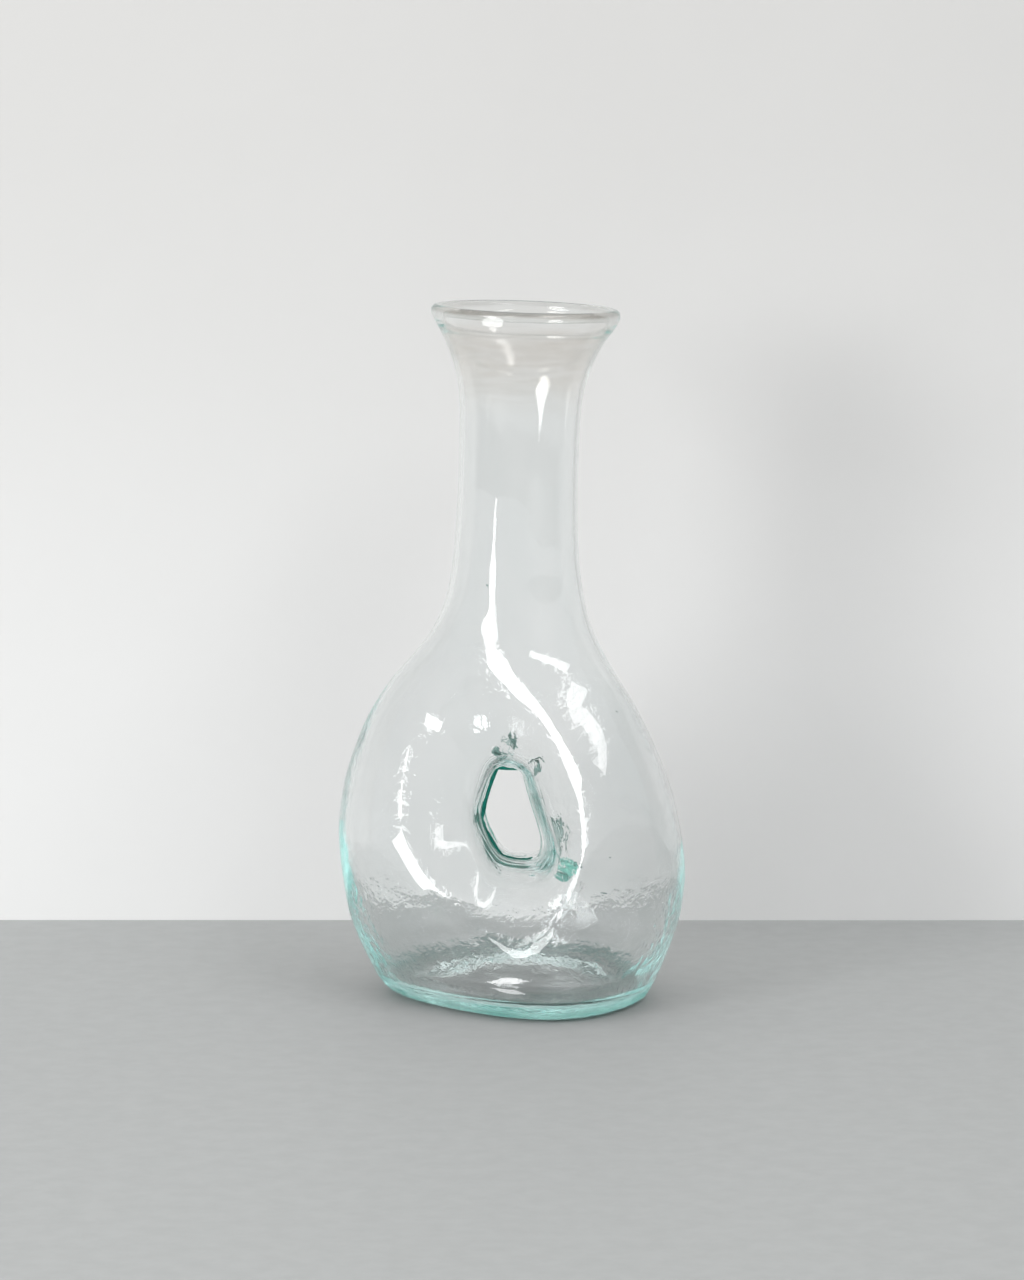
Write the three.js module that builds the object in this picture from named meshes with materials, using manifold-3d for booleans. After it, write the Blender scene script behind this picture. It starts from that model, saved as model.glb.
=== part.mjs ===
// Hand-blown glass decanter with a pinched-through hole in its belly.
// Millimetres, +Z up, origin on the table under the middle of the widest part.
// +X is to the right when the front dimple faces the viewer, the hole runs along Y.
import * as THREE from 'three';
import { mergeVertices } from 'three/addons/utils/BufferGeometryUtils.js';
import Module from 'manifold-3d';

const wasm = await Module();
wasm.setup();

// ---- driving dimensions -------------------------------------------------
const GAP = 0.3;                 // clearance between neighbouring zones of glass
const WALL = 2.0;                // wall of the belly, neck and mouth
const WALL_LOW = 0.045;          // extra wall per mm below WALL_LOW_Z
const WALL_LOW_Z = 70;
const BELLY_Z0 = 12;             // foot / belly
const NECK_Z0 = 158;             // belly / neck
const MOUTH_Z0 = 262;            // neck / flared mouth
const MOUTH_Z1 = 294.6;          // flared mouth / lip bead
const LIP_Z = 297.5;             // centre of the rolled lip
const LIP_R = 2.5;               // radius of the rolled lip
const TILT = 0.035;              // the mouth leans down to the right
const TILT_Z0 = 215, TILT_Z1 = 285;
const KICK = 8;                  // push-up under the foot
const KICK_R = 39.5;             // inner edge of the ring that the foot stands on
const FOOT_MID = 5;              // glass under the middle of the cavity
const FOOT_EDGE = 7.2;           // glass over the standing ring

const ORIGIN_Y = 3.3;            // shift of the drawing onto the origin

const RING_Z0 = 50;              // bowl / pinched ring
const RING_Z1 = 114;             // pinched ring / shoulder
const HOLE_A = 12.9;             // half length of the tunnel through the belly
const RIDGE_X = 1, RIDGE_Z = 84; // middle of the ridge round the dimples
const RIDGE_P = 1.572;           // how steeply a dimple rises from the hole
const RIDGE_S = 1.571;           // how far towards the ridge it keeps rising
const RIDGE_MIN = 4;
const TUNNEL_WALL = 2.4;
const COLLAR_W = 4.2;            // width of the fused ring that lines the tunnel
const HOLE_SKEW_X = 0.06, HOLE_SKEW_Z = -0.06;   // drift of the tunnel per mm of depth

// height, middle in X, half width in X
const PROFILE = [
  [0, 3.2, 50.1], [0.5, 3.1, 53.2], [1.2, 3.0, 54.9], [2.4, 2.7, 56.6], [4, 2.3, 58.0],
  [6.2, 2.05, 59.5], [9, 1.8, 61.2], [13, 1.65, 63.1], [18, 1.45, 65.5], [25, 1.2, 68.4],
  [35, 1.0, 71.9], [46, 1.0, 73.8], [58, 0.45, 75.05], [70, -0.7, 74.8], [82, -1.35, 73.2],
  [94, -1.7, 70.7], [106, -1.95, 66.5], [118, -2.3, 61.5], [130, -2.0, 55.0], [142, -1.6, 46.7],
  [154, -0.2, 38.2], [166, 1.1, 32.2], [178, 1.9, 29.0], [192, 2.15, 27.1], [208, 2.5, 26.2],
  [226, 3.1, 25.65], [244, 3.6, 25.75], [258, 4.15, 26.2], [268, 4.6, 27.6], [278, 5.0, 30.7],
  [286, 5.55, 34.5], [292, 6.2, 38.4], [296.5, 6.3, 40.6], [300, 6.3, 40.6],
];
// depth of the section over its width
const DEPTH = [
  [0, 0.905], [12, 0.89], [18, 0.829], [25, 0.835], [35, 0.837], [46, 0.752],
  [58, 0.752], [70, 0.784], [82, 0.797], [94, 0.79], [106, 0.778], [118, 0.74],
  [130, 0.711], [142, 0.75], [154, 0.809], [166, 0.919], [178, 0.982],
  [192, 0.982], [208, 0.985], [300, 0.985],
];
// how far a section slides along Y per mm of X: the belly is turned a little
const SHEAR = [
  [-1, 0.123], [12, 0.118], [35, 0.117], [60, 0.144], [85, 0.216], [110, 0.26],
  [135, 0.249], [165, 0], [300, 0],
];
// how much more the front of a section stands out at its sides than in its middle
const PEAK = [
  [-1, 0], [14, 0], [35, 0.303], [60, 0.241], [85, 0.179], [110, 0.277],
  [135, -0.052], [165, 0], [300, 0],
];
// distance of the ridge round the dimples from its middle, every 20 degrees from the left round through below
const RIDGE = [57.1, 48.1, 39.5, 36.5, 41.1, 43.2, 35.9, 31.7, 29.7,
  29.8, 31.1, 32.9, 36.6, 45, 60.3, 70, 68.6, 63.4];
// unevenness of the front wall: control heights of a B-spline surface, left to right and upwards
const WAVE_Z0 = 8, WAVE_DZ = 14;
const WAVE = [
  [0.8, 2.1, 3.3, 3.9, 3.6, 2.3, 0.3, -1.9, -4.2, -5.6, -5.9, -5.1, -3.9, -2.6],
  [-0.2, 1, 2.4, 3.5, 3.1, 2.1, -0.4, -2.3, -4.8, -6.3, -5.2, -3.7, -2.4, -1.8],
  [-1.1, -0.2, 0.8, 2.3, 2, 1.5, -0.8, -2.2, -4, -5.2, -3.7, -2.5, -1.1, -1.2],
  [-1.8, -1.2, -0.9, 0.9, 1.9, 1.4, -0.5, -3.1, -4.9, -3, -1.8, -2.1, -0.8, -0.9],
  [-2.2, -1, -0.7, 0.9, 2.8, 2.9, 1.4, -0.8, -2.4, -1.9, -1.1, -1, -0.3, -0.8],
  [-2.7, -1.4, 0.3, 2.2, 4.9, 5.4, 4.3, 3.1, 1.2, -1, -0.6, 0, -0.4, -1.3],
  [-2.2, -1.1, 0.7, 3, 6.6, 6.6, 5.4, 4.6, 0.9, -0.6, -0.3, -0.3, -1.1, -2],
  [-0.5, 0.8, 1.5, 1.4, 2.1, 2.5, 2.5, 2, 2.3, 2.2, -0.7, -1.6, -2.1, -2.5],
  [0.5, 1.2, 1.3, 0.5, -1.2, -1.2, 0.9, 1.2, 2.4, -0.1, -1.4, -2.3, -2.6, -2.8],
  [0.9, 1.2, 1.2, 0.8, 0, -0.6, 0.5, 1.1, 1.6, 0.1, -1.4, -2.3, -2.6, -2.8],
  [1.1, 1.2, 1.2, 1.1, 1.1, 1.1, 1.4, 1.7, 1.5, 0.4, -0.9, -1.9, -2.4, -2.6],
];

// hole outline at the front end of the tunnel, X and Z
const HOLE = [
  [-7.0, 103.4], [4.2, 101.8], [7.5, 91.4], [11.0, 80.5], [13.5, 73.6],
  [14.6, 68.4], [12.8, 63.5], [8.5, 60.9], [-5.3, 62.2], [-14.4, 80.6],
];

// ---- glass colours ------------------------------------------------------
function glass(hex, roughness = 0.04) {
  return new THREE.MeshStandardMaterial({ color: hex, roughness, metalness: 0, transparent: true, opacity: 0.35 });
}

// ---- helpers ------------------------------------------------------------
// monotone cubic through the rows of a table
function curve(xs, ys) {
  const n = xs.length, h = [], d = [], m = new Array(n).fill(0);
  for (let i = 0; i < n - 1; i++) { h.push(xs[i + 1] - xs[i]); d.push((ys[i + 1] - ys[i]) / h[i]); }
  for (let i = 1; i < n - 1; i++) {
    if (d[i - 1] * d[i] > 0) {
      const w1 = 2 * h[i] + h[i - 1], w2 = h[i] + 2 * h[i - 1];
      m[i] = (w1 + w2) / (w1 / d[i - 1] + w2 / d[i]);
    }
  }
  m[0] = d[0]; m[n - 1] = d[n - 2];
  return (x) => {
    const v = Math.min(Math.max(x, xs[0]), xs[n - 1]);
    let i = 0;
    while (i < n - 2 && v > xs[i + 1]) i++;
    const t = (v - xs[i]) / h[i], t2 = t * t, t3 = t2 * t;
    return (2 * t3 - 3 * t2 + 1) * ys[i] + (t3 - 2 * t2 + t) * h[i] * m[i]
      + (-2 * t3 + 3 * t2) * ys[i + 1] + (t3 - t2) * h[i] * m[i + 1];
  };
}
const column = (table, k) => table.map((row) => row[k]);
// the same curve with the small kinks between its rows smoothed out above the foot
function softened(f, sigma) {
  const step = 0.5, n = 721, at = (i) => -0.5 * ((i * step) / sigma) ** 2;
  let sum = 0;
  for (let i = -60; i <= 60; i++) sum += Math.exp(at(i));
  const mix = [];
  for (let j = 0; j < n; j++) {
    const z = -30 + j * step;
    let mean = 0;
    for (let i = -60; i <= 60; i++) mean += (Math.exp(at(i)) / sum) * f(Math.min(Math.max(z + i * step, 0), 300));
    let t = Math.min(Math.max((z - 12) / 22, 0), 1) * (1 - Math.min(Math.max((z - 284) / 8, 0), 1));
    t = t * t * (3 - 2 * t);
    mix.push(f(Math.min(Math.max(z, 0), 300)) * (1 - t) + mean * t);
  }
  return (z) => {
    if (z < 12) return f(z);
    const u = (Math.min(z, 329) + 30) / step, j = Math.floor(u);
    return mix[j] + (mix[j + 1] - mix[j]) * (u - j);
  };
}
const middle = softened(curve(column(PROFILE, 0), column(PROFILE, 1)), 5);
const halfWidth = softened(curve(column(PROFILE, 0), column(PROFILE, 2)), 3.5);
const depthRatio = softened(curve(column(DEPTH, 0), column(DEPTH, 1)), 6);
const shear = curve(column(SHEAR, 0), column(SHEAR, 1));
const peak = curve(column(PEAK, 0), column(PEAK, 1));
const smooth = (t) => { const u = Math.min(Math.max(t, 0), 1); return u * u * (3 - 2 * u); };
const wall = (z) => WALL + WALL_LOW * Math.max(0, WALL_LOW_Z - z);

// the foot is not round: its plan is askew and bulges a little at the front right
const PLAN_FADE = 56.5;
function plan(c, s, z) {
  const e = Math.exp(-((z / PLAN_FADE) ** 2)) * (1 - s) / 2;
  return 1 + e * (0.228 * c - 0.138 * (c * c - 0.5) - 0.154 * (c ** 3 - 0.6 * c) - 0.173 * (c ** 4 - 0.375));
}

// rounded hole outline, shifted with depth because the tunnel drifts
function cutCorners(points, share) {
  return points.flatMap((a, i) => {
    const b = points[(i + 1) % points.length];
    return [[a[0] + share * (b[0] - a[0]), a[1] + share * (b[1] - a[1])],
      [b[0] + share * (a[0] - b[0]), b[1] + share * (a[1] - b[1])]];
  });
}
const OUTLINE = cutCorners(cutCorners(HOLE, 0.2), 0.25);
function holeDistance(x, z, y) {
  const px = x - HOLE_SKEW_X * (y + HOLE_A), pz = z - HOLE_SKEW_Z * (y + HOLE_A);
  let best = Infinity, inside = false;
  for (let i = 0, j = OUTLINE.length - 1; i < OUTLINE.length; j = i++) {
    const [ax, az] = OUTLINE[j], [bx, bz] = OUTLINE[i];
    const ux = bx - ax, uz = bz - az;
    const t = Math.min(Math.max(((px - ax) * ux + (pz - az) * uz) / (ux * ux + uz * uz), 0), 1);
    best = Math.min(best, Math.hypot(px - ax - t * ux, pz - az - t * uz));
    if ((az > pz) !== (bz > pz) && px < ((bx - ax) * (pz - az)) / (bz - az) + ax) inside = !inside;
  }
  return inside ? -best : best;
}
// how far inside the ridge round the dimple a point lies
function ridgeDistance(x, z) {
  const n = RIDGE.length;
  const u = ((Math.atan2(z - RIDGE_Z, x - RIDGE_X) + Math.PI) / (2 * Math.PI)) * n;
  const i = Math.floor(u), f = u - i;
  const [a, b, c, d] = [-1, 0, 1, 2].map((k) => RIDGE[(i + k + n) % n]);
  const r = 0.5 * (2 * b + (c - a) * f + (2 * a - 5 * b + 4 * c - d) * f * f + (3 * b - a - 3 * c + d) * f ** 3);
  return r - Math.hypot(x - RIDGE_X, z - RIDGE_Z);
}
function spline(t) {
  const a = Math.abs(t);
  return a < 1 ? 2 / 3 - a * a + (a * a * a) / 2 : a < 2 ? (2 - a) ** 3 / 6 : 0;
}
function wave(x, z) {
  const u = Math.min(Math.max((x - middle(z)) / halfWidth(z), -1), 1);
  const fade = (1 - u * u) * smooth((z - 12) / 14) * (1 - smooth((z - 170) / 20));
  if (fade <= 0) return 0;
  let sum = 0;
  WAVE.forEach((row, i) => {
    const bu = spline(((u + 1) / 2) * (WAVE.length - 1) - i);
    if (bu > 0) row.forEach((v, j) => { sum += v * bu * spline((z - WAVE_Z0) / WAVE_DZ - j); });
  });
  return sum * fade;
}
// a point on a section: angle, radius in X, height, the height whose plan it takes,
// and, on a wall that is pressed in towards the hole, how far it lies inside the outer skin
function sectionPoint(angle, r, z, zPlan, inset) {
  const c = Math.cos(angle), s = Math.sin(angle), side = s < 0 ? -1 : 1;
  const x = middle(zPlan) + r * c;
  let y = depthRatio(zPlan) * r * s * plan(c, s, zPlan);
  if (inset !== undefined) {
    const a = Math.abs(y * (1 + (peak(z) * (c * c - 0.35) * (1 - s)) / 2));
    const d = holeDistance(x, z, side * HOLE_A), e = Math.max(0, d - inset);
    const t = Math.min(Math.max(e / Math.max(e + ridgeDistance(x, z), RIDGE_MIN) / RIDGE_S, 0), 1);
    const f = Math.sqrt(Math.max(0, 1 - (1 - t) ** RIDGE_P)), h = Math.min(a, HOLE_A);
    y = side * (h + (a - h) * f) - (side < 0 ? wave(x, z) * smooth(d / 9) : 0);
  }
  y -= shear(zPlan) * r * c;
  const lean = TILT * smooth((z - TILT_Z0) / (TILT_Z1 - TILT_Z0)) * (x - middle(zPlan));
  return [x, y, z - lean];
}

// A revolved profile whose points are then moved onto the real, uneven sections.
// rows: { r, z, plan, press }  press is undefined, or the inset of that surface
function turned(rows, segments, crowd = 0, closed = false) {
  const points = rows.map((row) => new THREE.Vector2(Math.max(row.r, 0), row.z));
  if (closed) points.push(points[0].clone());
  const geometry = new THREE.LatheGeometry(points, segments);
  const position = geometry.attributes.position;
  const count = points.length;
  for (let i = 0; i <= segments; i++) {
    const turn = ((i % segments) / segments) * 2 * Math.PI;
    const angle = turn + crowd * Math.sin(2 * turn);
    for (let j = 0; j < count; j++) {
      const row = rows[j % rows.length];
      const p = sectionPoint(angle, Math.max(row.r, 0), row.z, row.plan ?? row.z, row.press);
      position.setXYZ(i * count + j, p[0], p[1], p[2]);
    }
  }
  return weld(geometry);
}
// merge shared points, drop collapsed triangles and turn the faces outward
function weld(geometry) {
  geometry.deleteAttribute('normal');
  geometry.deleteAttribute('uv');
  const merged = mergeVertices(geometry, 1e-4);
  const a = merged.index.array, keep = [];
  for (let i = 0; i < a.length; i += 3) {
    if (a[i] !== a[i + 1] && a[i + 1] !== a[i + 2] && a[i] !== a[i + 2]) keep.push(a[i], a[i + 1], a[i + 2]);
  }
  merged.setIndex(keep);
  if (volume(merged) < 0) {
    for (let i = 0; i < keep.length; i += 3) [keep[i], keep[i + 1]] = [keep[i + 1], keep[i]];
    merged.setIndex(keep);
  }
  return merged;
}
function volume(geometry) {
  const p = geometry.attributes.position, a = geometry.index.array;
  const u = new THREE.Vector3(), v = new THREE.Vector3(), w = new THREE.Vector3();
  let sum = 0;
  for (let i = 0; i < a.length; i += 3) {
    u.fromBufferAttribute(p, a[i]); v.fromBufferAttribute(p, a[i + 1]); w.fromBufferAttribute(p, a[i + 2]);
    sum += u.dot(v.cross(w));
  }
  return sum / 6;
}
function solid(geometry) {
  return new wasm.Manifold(new wasm.Mesh({
    numProp: 3,
    vertProperties: Float32Array.from(geometry.attributes.position.array),
    triVerts: Uint32Array.from(geometry.index.array),
  }));
}
function geometryOf(manifold) {
  const mesh = manifold.getMesh();
  const geometry = new THREE.BufferGeometry();
  const xyz = new Float32Array((mesh.vertProperties.length / mesh.numProp) * 3);
  for (let i = 0; i < xyz.length / 3; i++) {
    for (let k = 0; k < 3; k++) xyz[3 * i + k] = mesh.vertProperties[i * mesh.numProp + k];
  }
  geometry.setAttribute('position', new THREE.BufferAttribute(xyz, 3));
  geometry.setIndex(Array.from(mesh.triVerts));
  return geometry;
}
// a prism of the hole outline grown by `grow`, running right through the belly
function tunnel(grow, half = 75) {
  const n = OUTLINE.length;
  const shape = new THREE.Shape(OUTLINE.map((p, i) => {
    const a = OUTLINE[(i + n - 1) % n], b = OUTLINE[(i + 1) % n];
    const tx = b[0] - a[0], tz = b[1] - a[1], len = Math.hypot(tx, tz);
    return new THREE.Vector2(p[0] - (tz / len) * grow, p[1] + (tx / len) * grow);
  }));
  const geometry = new THREE.ExtrudeGeometry(shape, { depth: 2 * half, bevelEnabled: false, steps: 1 });
  const position = geometry.attributes.position;
  for (let i = 0; i < position.count; i++) {
    const y = half - position.getZ(i);
    position.setXYZ(i, position.getX(i) + HOLE_SKEW_X * (y + HOLE_A), y, position.getY(i) + HOLE_SKEW_Z * (y + HOLE_A));
  }
  return solid(weld(geometry));
}
// the sections are drawn about the neck; the origin belongs under the middle of the whole
const group = new THREE.Group();
group.position.set(0, ORIGIN_Y, 0);
function add(name, geometry, material) {
  geometry.computeVertexNormals();
  const mesh = new THREE.Mesh(geometry, material);
  mesh.name = name;
  group.add(mesh);
  return mesh;
}

// ---- foot: thick base with a push-up ------------------------------------
{
  const rows = [{ r: 0, z: KICK, plan: 0 }];
  for (const f of [0.3, 0.55, 0.75, 0.9]) rows.push({ r: KICK_R * f, z: KICK * (1 - f * f) ** 1.3, plan: 0 });
  rows.push({ r: KICK_R, z: 0, plan: 0 });
  for (const z of [0, 0.5, 1.2, 2.4, 4, 6.2, 9, BELLY_Z0]) rows.push({ r: halfWidth(z), z });
  const inner = halfWidth(BELLY_Z0) - wall(BELLY_Z0);
  rows.push({ r: inner, z: BELLY_Z0 });
  rows.push({ r: inner - 3.2, z: 9.6, plan: 9 }, { r: inner - 8.5, z: 7.8, plan: 6 });
  rows.push({ r: KICK_R, z: FOOT_EDGE, plan: 3 }, { r: 30, z: 9.0, plan: 0 }, { r: 19, z: 11.1, plan: 0 });
  rows.push({ r: 9, z: 12.6, plan: 0 }, { r: 0, z: KICK + FOOT_MID, plan: 0 });
  add('foot', turned(rows, 40), glass(0xa9d6d0));
}

// ---- belly: pinched front and back, with the hole -------------------------
const BELLY_ROWS = [12, 18, 24, 30, 36, 42, 48, 53, 58, 62, 66, 71, 77, 83, 89, 95, 100, 104, 109, 115, 122, 130, 139, 148, 158];
const SEG = 52, CROWD = 0.28;
function bellySolid(inset) {
  const z0 = BELLY_Z0 + GAP, z1 = NECK_Z0;
  const rows = [];
  const heights = BELLY_ROWS.map((z, i) => (i === 0 ? z0 : i === BELLY_ROWS.length - 1 ? z1 : z));
  const past = inset ? 1 : 0;      // the cavity runs past both cut faces
  rows.push({ r: 0, z: z0 - past });
  if (past) rows.push({ r: halfWidth(z0) - wall(z0), z: z0 - past });
  for (const z of heights) rows.push({ r: halfWidth(z) - (inset ? wall(z) : 0), z, press: inset });
  if (past) rows.push({ r: halfWidth(z1) - wall(z1), z: z1 + past });
  rows.push({ r: 0, z: z1 + past });
  return solid(turned(rows, SEG, CROWD));
}
const outer = bellySolid(0);
const cavity = bellySolid(TUNNEL_WALL);
const skin = outer.subtract(cavity).subtract(tunnel(COLLAR_W));
const above = (body, z) => body.trimByPlane([0, 0, 1], z);
const below = (body, z) => body.trimByPlane([0, 0, -1], -z);
const ringSkin = below(above(skin, RING_Z0 + GAP), RING_Z1);
add('bowl', geometryOf(below(skin, RING_Z0)), glass(0xbcd9d4));
add('belly_left', geometryOf(ringSkin.trimByPlane([-1, 0, 0], GAP / 2)), glass(0xc4dcd8));
add('belly_right', geometryOf(ringSkin.trimByPlane([1, 0, 0], GAP / 2)), glass(0xc4dcd8));
add('shoulder', geometryOf(above(skin, RING_Z1 + GAP)), glass(0xcbdfdb));

// ---- the ring of fused glass that lines the hole --------------------------
{
  const ring = outer.intersect(tunnel(COLLAR_W - GAP)).subtract(tunnel(0))
    .subtract(cavity.subtract(tunnel(TUNNEL_WALL)));
  add('hole_collar', geometryOf(ring), glass(0x3f8f80));
}

// ---- lumps where the two walls were squeezed together ---------------------
// a lump keeps clear of the ring that lines the tunnel and stays in the cavity
const seamY = (x, z) => -shear(z) * (x - middle(z));
function lump(name, centre, radii, angle, hex) {
  const geometry = new THREE.SphereGeometry(1, 12, 8);
  geometry.scale(radii[0], radii[1], radii[2]);
  geometry.rotateY(angle);
  geometry.translate(centre[0], centre[1], centre[2]);
  const body = solid(weld(geometry)).subtract(tunnel(TUNNEL_WALL + GAP)).intersect(cavity);
  add(name, geometryOf(body), glass(hex));
}
lump('seam_knob', [9.7, seamY(9.7, 99.4), 99.4], [2.9, 2.9, 2.9], 0, 0x5d8f86);
lump('seam_crest', [0.2, seamY(0.2, 107.2), 107.2], [4.6, 2.4, 6.4], 0.12, 0x74a89f);
lump('seam_tab', [23.0, seamY(23.0, 56.4), 56.4], [8.6, 3.2, 4.6], 0.35, 0x5cc7b4);
lump('seam_lobe', [18.2, seamY(18.2, 70.2), 70.2], [3.0, 3.4, 9.0], 0.05, 0x6fa79d);

// ---- neck ------------------------------------------------------------------
function tube(name, z0, z1, heights, segments, hex) {
  const hs = [z0, ...heights, z1];
  const rows = hs.map((z) => ({ r: halfWidth(z), z, press: 0 }));
  for (const z of [...hs].reverse()) rows.push({ r: halfWidth(z) - WALL, z, press: 0 });
  add(name, turned(rows, segments, 0, true), glass(hex));
}
tube('neck', NECK_Z0 + GAP, MOUTH_Z0, [163, 169, 177, 190, 212, 240], 36, 0xcfe2de);

// ---- flared mouth and rolled lip -------------------------------------------
tube('flared_mouth', MOUTH_Z0 + GAP, MOUTH_Z1, [269, 276, 282, 287, 291], 36, 0xcadad4);
{
  const rows = [];
  for (let k = 0; k < 10; k++) {
    const a = (k / 10) * 2 * Math.PI;
    rows.push({ r: halfWidth(LIP_Z) - LIP_R + LIP_R * Math.cos(a), z: LIP_Z + LIP_R * Math.sin(a), plan: 298 });
  }
  add('lip_bead', turned(rows, 48, 0, true), glass(0x9aa39a));
}

export default group;
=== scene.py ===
import bpy
import math
import numpy as np
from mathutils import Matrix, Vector


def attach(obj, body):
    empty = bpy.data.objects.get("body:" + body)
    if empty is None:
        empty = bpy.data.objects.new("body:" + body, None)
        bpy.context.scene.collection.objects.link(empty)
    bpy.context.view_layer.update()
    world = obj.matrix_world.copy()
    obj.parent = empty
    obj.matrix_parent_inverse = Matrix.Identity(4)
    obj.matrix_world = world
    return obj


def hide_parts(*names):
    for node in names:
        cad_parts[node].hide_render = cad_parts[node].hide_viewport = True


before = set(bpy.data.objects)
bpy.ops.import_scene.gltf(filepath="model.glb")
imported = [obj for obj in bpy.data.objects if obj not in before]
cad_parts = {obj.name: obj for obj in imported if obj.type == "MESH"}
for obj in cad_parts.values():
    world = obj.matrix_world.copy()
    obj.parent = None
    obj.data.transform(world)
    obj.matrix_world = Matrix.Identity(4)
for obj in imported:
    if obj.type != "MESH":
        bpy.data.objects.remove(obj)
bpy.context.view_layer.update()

# ---------------------------------------------------------------------------
# Shape of the glass, in millimetres. Same sections as the solids.
# ---------------------------------------------------------------------------
OY = 3.3
WALL = 2.0
WALL_LOW, WALL_LOW_Z = 0.045, 70.0
LIP_Z, LIP_R = 297.5, 2.5
TILT, TILT_Z0, TILT_Z1 = 0.035, 215.0, 285.0
KICK, KICK_R = 8.0, 39.5
FOOT_MID, FOOT_EDGE = 5.0, 7.2
HOLE_A = 12.9                        # half length of the tunnel through the belly
TUNNEL_WALL = 2.4
RIDGE_X, RIDGE_Z = 1.0, 84.0         # middle of the ridge round the dimples
RIDGE_P, RIDGE_S = 1.572, 1.571      # how the dimple rises from the hole to the ridge
RIDGE_MIN = 4.0
SKEW_X, SKEW_Z = 0.06, -0.06
PLAN_FADE = 56.5

PROFILE = np.array([
    [0, 3.2, 50.1], [0.5, 3.1, 53.2], [1.2, 3.0, 54.9], [2.4, 2.7, 56.6], [4, 2.3, 58.0],
    [6.2, 2.05, 59.5], [9, 1.8, 61.2], [13, 1.65, 63.1], [18, 1.45, 65.5], [25, 1.2, 68.4],
    [35, 1.0, 71.9], [46, 1.0, 73.8], [58, 0.45, 75.05], [70, -0.7, 74.8], [82, -1.35, 73.2],
    [94, -1.7, 70.7], [106, -1.95, 66.5], [118, -2.3, 61.5], [130, -2.0, 55.0], [142, -1.6, 46.7],
    [154, -0.2, 38.2], [166, 1.1, 32.2], [178, 1.9, 29.0], [192, 2.15, 27.1], [208, 2.5, 26.2],
    [226, 3.1, 25.65], [244, 3.6, 25.75], [258, 4.15, 26.2], [268, 4.6, 27.6], [278, 5.0, 30.7],
    [286, 5.55, 34.5], [292, 6.2, 38.4], [296.5, 6.3, 40.6], [300, 6.3, 40.6],
])
DEPTH = np.array([[0, 0.905], [12, 0.89], [18, 0.829], [25, 0.835], [35, 0.837], [46, 0.752], [58, 0.752],
                  [70, 0.784], [82, 0.797], [94, 0.79], [106, 0.778], [118, 0.74], [130, 0.711],
                  [142, 0.75], [154, 0.809], [166, 0.919], [178, 0.982], [192, 0.982], [208, 0.985], [300, 0.985]])
SHEAR = np.array([[-1, 0.123], [12, 0.118], [35, 0.117], [60, 0.144], [85, 0.216], [110, 0.26],
                  [135, 0.249], [165, 0], [300, 0]])
PEAK = np.array([[-1, 0], [14, 0], [35, 0.303], [60, 0.241], [85, 0.179], [110, 0.277],
                 [135, -0.052], [165, 0], [300, 0]])
# distance of the ridge from its middle, every 20 degrees from the left round through below
RIDGE = np.array([57.1, 48.1, 39.5, 36.5, 41.1, 43.2, 35.9, 31.7, 29.7,
                  29.8, 31.1, 32.9, 36.6, 45, 60.3, 70, 68.6, 63.4])
# unevenness of the front wall: control heights of a B-spline, left to right and upwards
WAVE_Z0, WAVE_DZ = 8.0, 14.0
WAVE = np.array([
    [0.8, 2.1, 3.3, 3.9, 3.6, 2.3, 0.3, -1.9, -4.2, -5.6, -5.9, -5.1, -3.9, -2.6],
    [-0.2, 1, 2.4, 3.5, 3.1, 2.1, -0.4, -2.3, -4.8, -6.3, -5.2, -3.7, -2.4, -1.8],
    [-1.1, -0.2, 0.8, 2.3, 2, 1.5, -0.8, -2.2, -4, -5.2, -3.7, -2.5, -1.1, -1.2],
    [-1.8, -1.2, -0.9, 0.9, 1.9, 1.4, -0.5, -3.1, -4.9, -3, -1.8, -2.1, -0.8, -0.9],
    [-2.2, -1, -0.7, 0.9, 2.8, 2.9, 1.4, -0.8, -2.4, -1.9, -1.1, -1, -0.3, -0.8],
    [-2.7, -1.4, 0.3, 2.2, 4.9, 5.4, 4.3, 3.1, 1.2, -1, -0.6, 0, -0.4, -1.3],
    [-2.2, -1.1, 0.7, 3, 6.6, 6.6, 5.4, 4.6, 0.9, -0.6, -0.3, -0.3, -1.1, -2],
    [-0.5, 0.8, 1.5, 1.4, 2.1, 2.5, 2.5, 2, 2.3, 2.2, -0.7, -1.6, -2.1, -2.5],
    [0.5, 1.2, 1.3, 0.5, -1.2, -1.2, 0.9, 1.2, 2.4, -0.1, -1.4, -2.3, -2.6, -2.8],
    [0.9, 1.2, 1.2, 0.8, 0, -0.6, 0.5, 1.1, 1.6, 0.1, -1.4, -2.3, -2.6, -2.8],
    [1.1, 1.2, 1.2, 1.1, 1.1, 1.1, 1.4, 1.7, 1.5, 0.4, -0.9, -1.9, -2.4, -2.6],
])
HOLE = [(-7.0, 103.4), (4.2, 101.8), (7.5, 91.4), (11.0, 80.5), (13.5, 73.6),
        (14.6, 68.4), (12.8, 63.5), (8.5, 60.9), (-5.3, 62.2), (-14.4, 80.6)]


def pchip(xs, ys):
    h = np.diff(xs)
    d = np.diff(ys) / h
    m = np.zeros(len(xs))
    for i in range(1, len(xs) - 1):
        if d[i - 1] * d[i] > 0:
            w1, w2 = 2 * h[i] + h[i - 1], h[i] + 2 * h[i - 1]
            m[i] = (w1 + w2) / (w1 / d[i - 1] + w2 / d[i])
    m[0], m[-1] = d[0], d[-1]

    def f(x):
        x = np.clip(x, xs[0], xs[-1])
        i = np.clip(np.searchsorted(xs, x, side="right") - 1, 0, len(xs) - 2)
        t = (x - xs[i]) / h[i]
        return ((2 * t**3 - 3 * t**2 + 1) * ys[i] + (t**3 - 2 * t**2 + t) * h[i] * m[i]
                + (-2 * t**3 + 3 * t**2) * ys[i + 1] + (t**3 - t**2) * h[i] * m[i + 1])
    return f


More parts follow.
